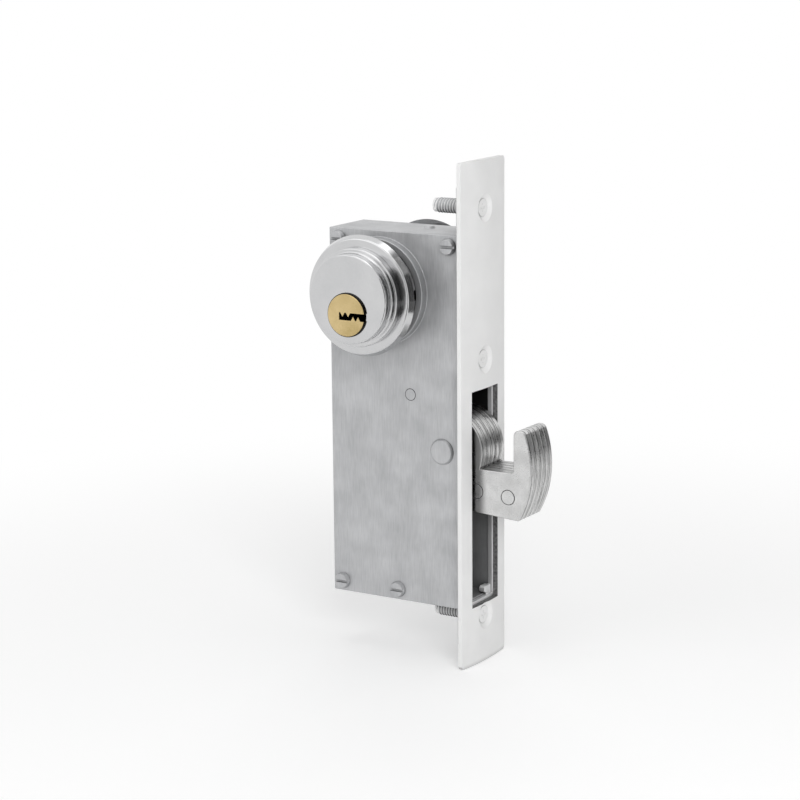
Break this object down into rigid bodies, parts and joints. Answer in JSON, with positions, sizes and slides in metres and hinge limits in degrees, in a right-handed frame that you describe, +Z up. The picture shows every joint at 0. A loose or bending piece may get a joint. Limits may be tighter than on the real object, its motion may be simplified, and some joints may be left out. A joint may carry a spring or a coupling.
{
  "type": "sliding patio door lock",
  "caption": "Mortise hook lock for a sliding patio door: a keyed cylinder outside or a thumbturn inside swings a laminated hook bolt out through a crowned faceplate.",
  "frame": {"origin": "centre of the faceplate's back rim, on the plane that seats on the door's edge", "axes": "+X out of the door's edge, -Y to the key side, +Z up along the faceplate"},
  "size_m": [0.0659, 0.0656, 0.1482],
  "materials": {
    "white_paint": "smooth white paint, satin",
    "zinc_steel": "zinc plated sheet steel",
    "spring_steel": "dark tempered steel",
    "satin_chrome": "satin chrome plate",
    "brass": "turned brass",
    "linkage_steel": "stamped steel",
    "hook_steel": "tumbled nickel plated steel laminations",
    "bronze": "sintered bronze"
  },
  "bodies": {
    "case": {"faceplate": "white_paint", "faceplate_screw_top": "white_paint", "faceplate_screw_middle": "white_paint", "faceplate_screw_bottom": "white_paint", "case_front": "zinc_steel", "case_body": "zinc_steel", "case_cover": "zinc_steel", "cover_screws": "zinc_steel", "stop_post": "zinc_steel", "hook_pivot_pin": "zinc_steel", "pivot_washers": "zinc_steel", "detent_leaf": "spring_steel", "detent_rivet": "zinc_steel", "set_screw_outer": "spring_steel", "set_screw_inner": "spring_steel", "cylinder_body": "satin_chrome", "cylinder_collar": "satin_chrome", "driver_pins": "brass", "pin_springs": "spring_steel", "pin_cover": "brass", "turn_cylinder_body": "satin_chrome", "turn_collar": "satin_chrome"},
    "driver": {"key_plug": "brass", "key_pins": "brass", "plug_cap": "brass", "plug_cap_screws": "linkage_steel", "tailpiece": "linkage_steel", "drive_cam": "linkage_steel", "drive_crank_pin": "linkage_steel"},
    "link": {"link_bar": "linkage_steel"},
    "hook": {"hook_plate_1": "hook_steel", "hook_plate_2": "hook_steel", "hook_plate_3": "hook_steel", "hook_plate_4": "hook_steel", "hook_plate_5": "hook_steel", "hook_rivets": "hook_steel", "hook_crank_pin": "linkage_steel", "pivot_bush": "bronze"},
    "thumbturn": {"thumbturn": "satin_chrome", "thumbturn_clip": "spring_steel"}
  },
  "joints": [
    {"name": "key_turn", "type": "hinge", "parent": "case", "child": "driver", "pos_m": [-0.0277, 0, 0.031], "axis": [0, 1, 0], "range_deg": [0, 90], "deforming": ["detent_leaf"]},
    {"name": "link_swing", "type": "hinge", "parent": "driver", "child": "link", "pos_m": [-0.0312, 0, 0.02057], "axis": [0, 1, 0], "range_deg": [-90, 0]},
    {"name": "hook_swing", "type": "hinge", "parent": "case", "child": "hook", "pos_m": [-0.0072, 0, -0.0102], "axis": [0, 1, 0], "range_deg": [0, 90]},
    {"name": "thumb_turn", "type": "hinge", "parent": "case", "child": "thumbturn", "pos_m": [-0.0277, 0, 0.031], "axis": [0, 1, 0], "range_deg": [0, 90]}
  ],
  "couplings": [
    {"joint": "link_swing", "follows": "key_turn", "ratio": -1},
    {"joint": "hook_swing", "follows": "key_turn", "ratio": 1},
    {"joint": "thumb_turn", "follows": "key_turn", "ratio": 1}
  ]
}
